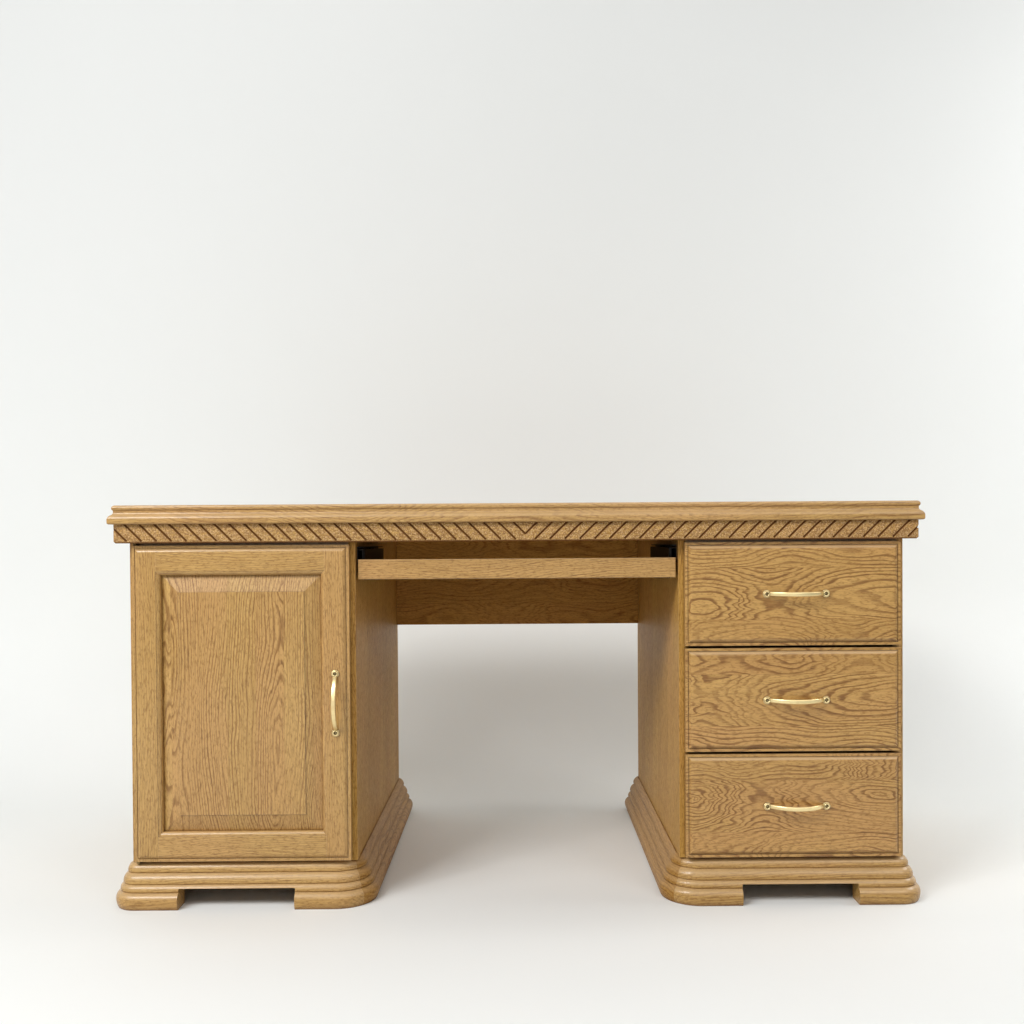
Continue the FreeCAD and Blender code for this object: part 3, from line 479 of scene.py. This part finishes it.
def oak_board(name, grain, seed, coat=0.55, sheen=0.35, tint=None, lean=None, painted_shading=0.0,
              reach=CREASE_REACH, **facts):
    """Satin oak for one board, or for boards glued side by side when stave is a real width."""
    made, w, shader = fresh_material("oak_" + name)
    out = figure_node(w, name, grain, seed, **facts)
    colour = w.mix(1.0, out["Color"], tint, "MULTIPLY") if tint else out["Color"]
    colour, soft = aged(w, colour, WORN_AND_HIGHLIGHT, CREASE_SHADE_OAK, reach=reach, painted_shading=painted_shading)
    soft = steeper(w, soft, BOARD_FRONT, lean) if lean else soft
    w.fill(shader, {"Base Color": colour, "Roughness": out["Roughness"],
                    "Normal": w.bump(out["Height"], *OAK_BUMP, soft), "Specular IOR Level": sheen,
                    "Coat Weight": coat, "Coat Roughness": COAT_ROUGHNESS})
    dress(name, made)


CALM = {"aside": 0.09, "ring": 0.0042, "wander": 0.25, "contrast": 0.50, "painted_shading": 0.45}
SIDE = {"stave": 0.078, "aside": 0.05, "ring": 0.0050, "wander": 0.4, "contrast": 0.55,
        "coat": 0.25, "sheen": 0.30}
# Painted shade: the knee sides' tint gives them the warmer colour of the shade they stand in
KNEE_SIDE_PAINTED_SHADE = {**SIDE, "coat": 0.0, "sheen": 0.10, "tint": (1.04, 1.00, 0.82)}
FLAT = {"stave": 0.086, "depth": 0.06, "wander": 0.5, "contrast": 0.7}
TABLETOP = {"stave": 0.094, "depth": 0.06, "wander": 0.4, "contrast": 0.75, "coat": 0.5,
            "painted_shading": 0.45, "reach": 0.006}
# Painted shade: the knee back's tint makes it darker and warmer, as in the shade under the top
KNEE_BACK_PAINTED_SHADE = {"stave": 0.111, "wander": 0.6, "contrast": 0.6, "coat": 0.0, "sheen": 0.08,
             "tint": (0.93, 0.80, 0.57)}
PLINTH = {"aside": 0.05, "ring": 0.0055, "wander": 0.5, "contrast": 0.65, "coat": 0.45, "sheen": 0.25,
          "painted_shading": 0.50, "reach": 0.010}
# Painted shade: the inner plinths' tint makes them darker, as in the shade of the knee space
INNER_PLINTH_PAINTED_SHADE = {**PLINTH, "contrast": 0.9, "coat": 0.10, "sheen": 0.12, "painted_shading": 0.30,
                "tint": (0.84, 0.76, 0.62)}
PANEL = {"stave": 0.056, "scatter": 4.4, "depth": 0.03, "ring": 0.0048, "wander": 0.26,
         "contrast": 0.95, "lean": 1.6}
DRAWER = {"stave": 0.1027, "contrast": 1.25, "tint": (1.02, 0.98, 0.90), "lean": 1.5, "painted_shading": 0.75}
TRAY_LIP = {**CALM, "tint": (0.95, 0.92, 0.93)}

# A board's seed is its place in this list, counted from 1
BOARDS = [
    ("tabletop", "x_flat", TABLETOP),
    ("modesty_panel", "x_front", KNEE_BACK_PAINTED_SHADE),
    ("cupboard_outer_side", "z_side", SIDE),
    ("cupboard_inner_side", "z_side", KNEE_SIDE_PAINTED_SHADE),
    ("drawer_unit_inner_side", "z_side", KNEE_SIDE_PAINTED_SHADE),
    ("drawer_unit_outer_side", "z_side", SIDE),
    ("cupboard_top", "x_flat", FLAT),
    ("cupboard_bottom", "x_flat", FLAT),
    ("cupboard_shelf", "x_flat", FLAT),
    ("drawer_unit_top", "x_flat", FLAT),
    ("drawer_unit_bottom", "x_flat", FLAT),
    ("cupboard_plinth_front", "x_front", PLINTH),
    ("drawer_unit_plinth_front", "x_front", PLINTH),
    ("cupboard_plinth_outer_side", "y_side", PLINTH),
    ("cupboard_plinth_inner_side", "y_side", INNER_PLINTH_PAINTED_SHADE),
    ("drawer_unit_plinth_outer_side", "y_side", PLINTH),
    ("drawer_unit_plinth_inner_side", "y_side", INNER_PLINTH_PAINTED_SHADE),
    ("door_hinge_stile", "z_front", CALM),
    ("door_handle_stile", "z_front", CALM),
    ("door_top_rail", "x_front", CALM),
    ("door_bottom_rail", "x_front", CALM),
    ("door_panel", "z_front", PANEL),
    ("top_drawer_front", "x_front", DRAWER),
    ("middle_drawer_front", "x_front", DRAWER),
    ("bottom_drawer_front", "x_front", DRAWER),
    ("tray_board", "x_flat", FLAT),
    ("tray_lip", "x_front", TRAY_LIP),
]
for seed, (name, grain, facts) in enumerate(BOARDS, 1):
    oak_board(name, grain, float(seed), **facts)
print("oak boards", len(BOARDS))

# %% [markdown]
# The frieze is textured between its cut chevrons, so it is matte and a little redder than the boards
# around it. A fine bump gives the stipple. What lies between about one and five millimetres below the
# board's face, in the grooves, is painted dark, which needs only coordinates.

# %% Frieze
# Dark for the grooves, and the painted shade of the frieze's creases
GROOVE_DARK_AND_CREASE_SHADE = (0.165, 0.064, 0.013)
GRIT_BROWN = (0.220, 0.105, 0.036)
SPECK_CREAM = (0.70, 0.47, 0.24)
# Pale for the frieze's edges, part wear and part painted highlight
FRIEZE_WORN_AND_HIGHLIGHT = (0.50, 0.30, 0.16)
FRIEZE_FIGURE = {"aside": 0.08, "ring": 0.0050, "wander": 0.3, "contrast": 0.35}

# Noise as spots a metre, detail and roughness, then the soft steps that show it
GRIT, GRIT_SHOWS = (270.0, 3.0, 0.7), (0.38, 0.62, 0.0, 0.85)
SPECKS, SPECKS_SHOW = (430.0, 2.0, 0.7), (0.48, 0.66, 0.0, 0.75)
GROOVE_STARTS, GROOVE_ENDS = (0.0004, 0.0014), (0.005, 0.006, 1.0, 0.0)
FRIEZE_WEAR_AND_HIGHLIGHT = 0.35
GRIT_HEIGHT = 1.3
FRIEZE_BUMP = (0.65, 0.0009)
FRIEZE_ROUGHNESS, FRIEZE_SHEEN = 0.75, 0.25


def frieze_oak(name, grain, seed, axis, face_at):
    """Matte stippled oak, dark below the face that stands at face_at along an axis."""
    made, w, shader = fresh_material("frieze_" + name)
    out = figure_node(w, name, grain, seed, **FRIEZE_FIGURE)
    place = w.own_place()
    grit = w.noise(place, *GRIT)
    specks = w.noise(place, *SPECKS)
    colour = w.mix(w.between(grit, *GRIT_SHOWS), out["Color"], GRIT_BROWN)
    colour = w.mix(w.between(specks, *SPECKS_SHOW), colour, SPECK_CREAM)
    sunk = w.minus(abs(face_at), w.math("ABSOLUTE", w.parts(place)[axis]))
    in_groove = w.times(w.between(sunk, *GROOVE_STARTS), w.between(sunk, *GROOVE_ENDS))
    colour = w.mix(in_groove, colour, GROOVE_DARK_AND_CREASE_SHADE)
    # Edges painted pale for wear and highlight, creases in painted shade
    colour, soft = aged(w, colour, FRIEZE_WORN_AND_HIGHLIGHT, GROOVE_DARK_AND_CREASE_SHADE, wear_and_highlight=FRIEZE_WEAR_AND_HIGHLIGHT)
    height = w.plus(w.times(grit, GRIT_HEIGHT), out["Height"])
    w.fill(shader, {"Base Color": colour, "Normal": w.bump(height, *FRIEZE_BUMP, soft),
                    "Roughness": FRIEZE_ROUGHNESS, "Specular IOR Level": FRIEZE_SHEEN})
    dress(name, made)


frieze_oak("front_frieze", "x_front", 31.0, 1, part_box("front_frieze")[0].y)
frieze_oak("left_frieze", "y_side", 32.0, 0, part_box("left_frieze")[0].x)
frieze_oak("right_frieze", "y_side", 33.0, 0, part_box("right_frieze")[1].x)
print("frieze boards 3")

# %% [markdown]
# Hidden wood is plainer: beech for the drawer boxes and rails, thin plywood for the pedestals' backs
# and the drawer bottoms. They share one recipe, a straight-grained wood without bold year lines.

# %% Plain woods
BEECH = ((0.66, 0.47, 0.27), (0.54, 0.36, 0.19))
PLY = ((0.55, 0.37, 0.19), (0.42, 0.26, 0.12))
PLAIN_STREAKS, STREAKS_WEIGH = (5.0, 190.0, 3.0, 0.6), 0.65
PLAIN_CLOUDS, CLOUDS_WEIGH = (3.0, 14.0, 2.0, 0.5), 0.45
PLAIN_DASHES, PLAIN_DASHES_SHOW = (70.0, 900.0, 1.0, 0.5), (0.60, 0.72)
PALE_SHOWS = (0.35, 0.80)
DASH_SHARE, DASH_TONE = 0.35, 0.5
STREAK_ROUGHNESS = 0.15
PLAIN_BUMP = (0.2, 0.0004)


def plain_wood(name, grain, pale, deep, roughness):
    """Straight-grained wood with fine streaks."""
    made, w, shader = fresh_material("wood_" + name)
    place = board_place(w, name, grain)
    streak = w.grain(place, *PLAIN_STREAKS)
    cloud = w.grain(place, *PLAIN_CLOUDS)
    dash = w.grain(place, *PLAIN_DASHES)
    share = w.plus(w.times(streak, STREAKS_WEIGH), w.times(cloud, CLOUDS_WEIGH), clamp=True)
    colour = w.mix(w.between(share, *PALE_SHOWS), deep, pale)
    dashed = w.times(w.between(dash, *PLAIN_DASHES_SHOW), DASH_SHARE)
    colour = w.mix(dashed, colour, tuple(v * DASH_TONE for v in deep))
    w.fill(shader, {"Base Color": colour, "Roughness": w.times_plus(streak, STREAK_ROUGHNESS, roughness),
                    "Normal": w.bump(w.plus(streak, dash), *PLAIN_BUMP)})
    dress(name, made)


for drawer in ("top_drawer", "middle_drawer", "bottom_drawer"):
    plain_wood(drawer + "_sides", "y_side", *BEECH, 0.45)
    plain_wood(drawer + "_back", "x_front", *BEECH, 0.45)
    plain_wood(drawer + "_bottom", "x_flat", *PLY, 0.50)
plain_wood("drawer_rails", "y_side", *BEECH, 0.45)
plain_wood("frieze_rails", "x_front", *BEECH, 0.50)
plain_wood("plinth_back_rails", "x_front", *BEECH, 0.55)
plain_wood("cupboard_back", "z_front", *PLY, 0.55)
plain_wood("drawer_unit_back", "z_front", *PLY, 0.55)
print("plain woods done")

# %% [markdown]
# The handles are pale polished brass, a little dulled where fingers don't reach. Metal is all
# reflection, so the variation sits in the roughness, in a faint warm tarnish and in painted shade in its
# creases.
# The hinges are a darker brass, and the bolts, the shelf pins and the catch plate are zinc.

# %% Metals
# Colour, tarnish, painted crease shade, least roughness, spread of roughness, clouds a metre
BRASS = ((0.92, 0.75, 0.40), (0.84, 0.64, 0.32), (0.05, 0.03, 0.01), 0.22, 0.12, 60.0)
AGED_BRASS = ((0.42, 0.29, 0.13), (0.26, 0.17, 0.07), (0.05, 0.03, 0.01), 0.34, 0.16, 60.0)
ZINC = ((0.62, 0.63, 0.65), (0.48, 0.48, 0.50), (0.06, 0.06, 0.06), 0.28, 0.20, 70.0)
METAL_CLOUD = (3.0, 0.6)  # detail, roughness
METAL_SCRATCH = (2.0, 0.6)
SCRATCH_STRETCH, SCRATCHES_TO_A_CLOUD = (1.0, 6.0, 6.0), 9.0
SCRATCH_SHARE = 0.5
TARNISH_SHOWS = (0.45, 0.75)
METAL_CREASE_REACH, METAL_CREASE_SHOWS = 0.010, (0.45, 0.96, 0.95, 0.0)
METAL_BUMP = (0.06, 0.0002)


def metal(name, colour, tarnish, crease_shade_colour, roughness, spread, scale):
    """Metal with cloudy roughness, faint tarnish, fine scratches and painted shade in its creases."""
    made, w, shader = fresh_material("metal_" + name)
    raw = w.own_place()
    cloud = w.noise(raw, scale, *METAL_CLOUD)
    fine = w.noise(w.scaled(raw, SCRATCH_STRETCH), scale * SCRATCHES_TO_A_CLOUD, *METAL_SCRATCH)
    # Painted shade: dark where the metal is shut in
    crease_shade = w.between(w.openness(METAL_CREASE_REACH), *METAL_CREASE_SHOWS)
    tint = w.mix(w.between(cloud, *TARNISH_SHOWS), colour, tarnish)
    rough = w.times_plus(cloud, spread, w.times_plus(fine, spread * SCRATCH_SHARE, roughness))
    w.fill(shader, {"Base Color": w.mix(crease_shade, tint, crease_shade_colour), "Roughness": rough,
                    "Normal": w.bump(fine, *METAL_BUMP), "Metallic": 1.0})
    dress(name, made)


for name in ("door_handle", "top_drawer_handle", "middle_drawer_handle", "bottom_drawer_handle"):
    metal(name, *BRASS)
for name in ("hinge_door_leaves", "hinge_carcass_leaves", "hinge_pins"):
    metal(name, *AGED_BRASS)
for name in ("top_fixing_bolts", "shelf_pins", "catch_plate"):
    metal(name, *ZINC)
print("metals done")

# %% [markdown]
# The tray's slides and hangers and the door's catch are stoved black steel: not a mirror and not
# quite matte, with a faint orange peel.

# %% Black steel
BLACK, DUSTY_BLACK = (0.008, 0.008, 0.009), (0.026, 0.023, 0.021)
ORANGE_PEEL = (700.0, 2.0, 0.5)
DUST, DUST_SHOWS = (45.0, 3.0, 0.6), (0.45, 0.8)
STEEL_ROUGHNESS, DUST_ROUGHNESS = 0.44, 0.2
STEEL_SHEEN = 0.25
PEEL_BUMP = (0.15, 0.0002)


def black_steel(name):
    """Stoved black paint over steel."""
    made, w, shader = fresh_material("black_" + name)
    raw = w.own_place()
    peel = w.noise(raw, *ORANGE_PEEL)
    dust = w.noise(raw, *DUST)
    w.fill(shader, {"Base Color": w.mix(w.between(dust, *DUST_SHOWS), BLACK, DUSTY_BLACK),
                    "Roughness": w.times_plus(dust, DUST_ROUGHNESS, STEEL_ROUGHNESS),
                    "Specular IOR Level": STEEL_SHEEN, "Normal": w.bump(peel, *PEEL_BUMP)})
    dress(name, made)


for name in ("tray_tracks", "tray_runners", "tray_cages", "tray_hangers", "door_catch"):
    black_steel(name)
print("black steel done")

# %% [markdown]
# The paper and the light. The paper is near white, and grows darker from the floor up the wall: a painted
# shade.
# Seen from its back it is clear, so that the desk can be looked at from behind as well.
# Nine soft lamps light the room. The strongest stands high on the left, so mouldings that face left
# and up catch light and those that face right fall into shade, and the floor and wall seen through
# the knee space lie in the desk's own soft shadow. Weaker lamps on both sides, above and at the
# camera keep the shadows open, and three more light the paper: in front of the desk, at its right
# and on the wall. The powers started from pictures of each lamp alone, weighed against the
# photograph, and were then set one by one. The world beyond the paper is bright to the camera and in
# reflections, and nearly dark to everything else.

# %% Paper, lamps and world
PAPER_LOW = ((0.872, 0.888, 0.872), (0.888, 0.902, 0.888))
PAPER_HIGH = ((0.728, 0.741, 0.730), (0.760, 0.770, 0.758))
PAPER_RISES = (0.1, 2.2)  # metres
PAPER_CLOUDS = (0.8, 2.0, 0.5)
PAPER_ROUGHNESS, PAPER_SHEEN = 0.9, 0.1
SKY_COLOUR = (1.0, 0.99, 0.96, 1.0)
SKY_SEEN, SKY_REFLECTED, SKY_FILL = 0.80, 0.55, 0.03


def paper():
    """Near-white matte paper with a painted shade that darkens it up the wall, and clear from its back."""
    made, w, shader = fresh_material("paper")
    raw = w.own_place()
    cloud = w.noise(raw, *PAPER_CLOUDS)
    low, high = w.mix(cloud, *PAPER_LOW), w.mix(cloud, *PAPER_HIGH)
    # Painted shade: the paper darkens from the floor up the wall
    colour = w.mix(w.between(w.parts(raw)[2], *PAPER_RISES), low, high)
    w.fill(shader, {"Base Color": colour, "Roughness": PAPER_ROUGHNESS, "Specular IOR Level": PAPER_SHEEN})
    from_back = w.node("ShaderNodeNewGeometry").outputs["Backfacing"]
    clear = w.node("ShaderNodeBsdfTransparent").outputs[0]
    sides = w.node("ShaderNodeMixShader", {0: from_back, 1: shader.outputs[0], 2: clear}).outputs[0]
    w.feed(made.node_tree.nodes["Material Output"].inputs["Surface"], sides)
    backdrop.data.materials.append(made)


def soft_lamp(name, place, aim, width, height, watts):
    """Rectangular lamp pointing at a spot."""
    lamp = bpy.data.lights.new(name, "AREA")
    lamp.shape = "RECTANGLE"
    lamp.size, lamp.size_y = width, height
    lamp.energy = watts
    made = bpy.data.objects.new(name, lamp)
    made.location = place
    made.rotation_euler = (Vector(aim) - Vector(place)).to_track_quat("-Z", "Y").to_euler()
    bpy.context.scene.collection.objects.link(made)


paper()
DESK_MIDDLE = (0.0, 0.0, 0.5)
# Name, place, aim, width and height in metres, watts
LAMPS = [
    ("left_window", (-2.4, -3.0, 3.2), DESK_MIDDLE, 1.5, 1.2, 90.0),
    ("left_low_window", (-3.2, -2.2, 2.4), DESK_MIDDLE, 1.5, 1.2, 42.0),
    ("skylight", (-1.4, -2.4, 3.6), DESK_MIDDLE, 1.5, 1.2, 18.0),
    ("high_fill", (0.0, -3.4, 3.6), DESK_MIDDLE, 3.0, 1.5, 10.0),
    ("right_window", (2.4, -3.0, 2.8), DESK_MIDDLE, 1.5, 1.5, 22.0),
    ("camera_fill", (0.0, -4.5, 1.6), DESK_MIDDLE, 3.0, 1.5, 18.0),
    ("front_floor", (0.8, -2.6, 3.0), (0.8, -2.0, 0.0), 2.0, 1.0, 10.0),
    ("right_paper", (3.2, 0.0, 2.4), (1.9, 0.9, 0.2), 1.5, 1.0, 45.0),
    ("wall_wash", (0.0, 0.2, 4.5), (0.0, WALL_Y, 2.0), 2.0, 0.5, 10.0),
]
for lamp_facts in LAMPS:
    soft_lamp(*lamp_facts)

world = bpy.data.worlds.new("room")
world.use_nodes = True
bpy.context.scene.world = world
world.node_tree.nodes.clear()
sky = Wiring(world.node_tree)
path = sky.node("ShaderNodeLightPath").outputs
mirrored = sky.plus(path["Is Glossy Ray"], path["Is Transmission Ray"])
seen = sky.times_plus(path["Is Camera Ray"], SKY_SEEN, sky.times(mirrored, SKY_REFLECTED))
fill = sky.node("ShaderNodeBackground", {"Color": SKY_COLOUR, "Strength": sky.plus(seen, SKY_FILL)})
sky.node("ShaderNodeOutputWorld", {"Surface": fill.outputs[0]})
bpy.context.scene.view_settings.view_transform = "Standard"
print("lamps", len(LAMPS))
